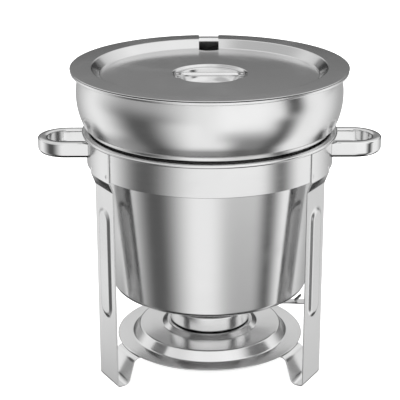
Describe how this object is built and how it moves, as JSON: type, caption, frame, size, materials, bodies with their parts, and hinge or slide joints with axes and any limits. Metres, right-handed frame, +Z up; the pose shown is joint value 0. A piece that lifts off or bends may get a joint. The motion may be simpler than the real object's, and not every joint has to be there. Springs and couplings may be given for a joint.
{
  "type": "soup chafing dish",
  "caption": "Round stainless soup chafer: strip-leg stand with loop handles, bulged water pan, inset food pan, lift-off lid with ladle notch and a fuel burner with a swivel damper.",
  "frame": {"origin": "on the dish's vertical axis, on the plane the three feet stand on", "axes": "+Z up, +X towards the right-hand stand handle, -Y towards the front between the two front legs; the ladle notch and the rear leg are on +Y"},
  "size_m": [0.363, 0.2896, 0.332],
  "materials": {
    "lid_satin": "satin stainless sheet with a fine circular grain",
    "strap_steel": "polished stainless strap",
    "pan_steel": "polished deep-drawn stainless sheet",
    "stand_steel": "polished stainless band with a faint grain round it",
    "leg_steel": "satin stainless strip, grain along its length",
    "handle_steel": "polished bent stainless tube",
    "plate_satin": "matt satin stainless sheet",
    "burner_steel": "polished stainless sheet",
    "rivet_steel": "polished steel rivet"
  },
  "bodies": {
    "stand": {"stand_ring": "stand_steel", "leg_left": "leg_steel", "leg_right": "leg_steel", "leg_rear": "leg_steel", "handle_left": "handle_steel", "handle_right": "handle_steel", "fuel_plate": "plate_satin"},
    "water_pan": {"water_pan": "pan_steel"},
    "food_pan": {"food_pan": "pan_steel"},
    "lid": {"lid": "lid_satin", "lid_strap": "strap_steel"},
    "fuel_cup": {"fuel_cup": "burner_steel"},
    "burner_cover": {"burner_cover": "burner_steel", "damper_rivet": "rivet_steel"},
    "damper": {"damper": "burner_steel"}
  },
  "joints": [
    {"name": "water_pan_lift", "type": "slide", "parent": "stand", "child": "water_pan", "axis": [0, 0, 1], "range_m": [0, 0.2]},
    {"name": "food_pan_lift", "type": "slide", "parent": "water_pan", "child": "food_pan", "axis": [0, 0, 1], "range_m": [0, 0.24]},
    {"name": "lid_lift", "type": "slide", "parent": "food_pan", "child": "lid", "axis": [0, 0, 1], "range_m": [0, 0.06]},
    {"name": "fuel_cup_lift", "type": "slide", "parent": "stand", "child": "fuel_cup", "axis": [0, 0, 1], "range_m": [0, 0.008]},
    {"name": "burner_cover_lift", "type": "slide", "parent": "fuel_cup", "child": "burner_cover", "axis": [0, 0, 1], "range_m": [0, 0.008]},
    {"name": "damper_swivel", "type": "hinge", "parent": "burner_cover", "child": "damper", "pos_m": [0.0321, 0, 0.0652], "axis": [0, 0, 1], "range_deg": [0, 75]}
  ]
}
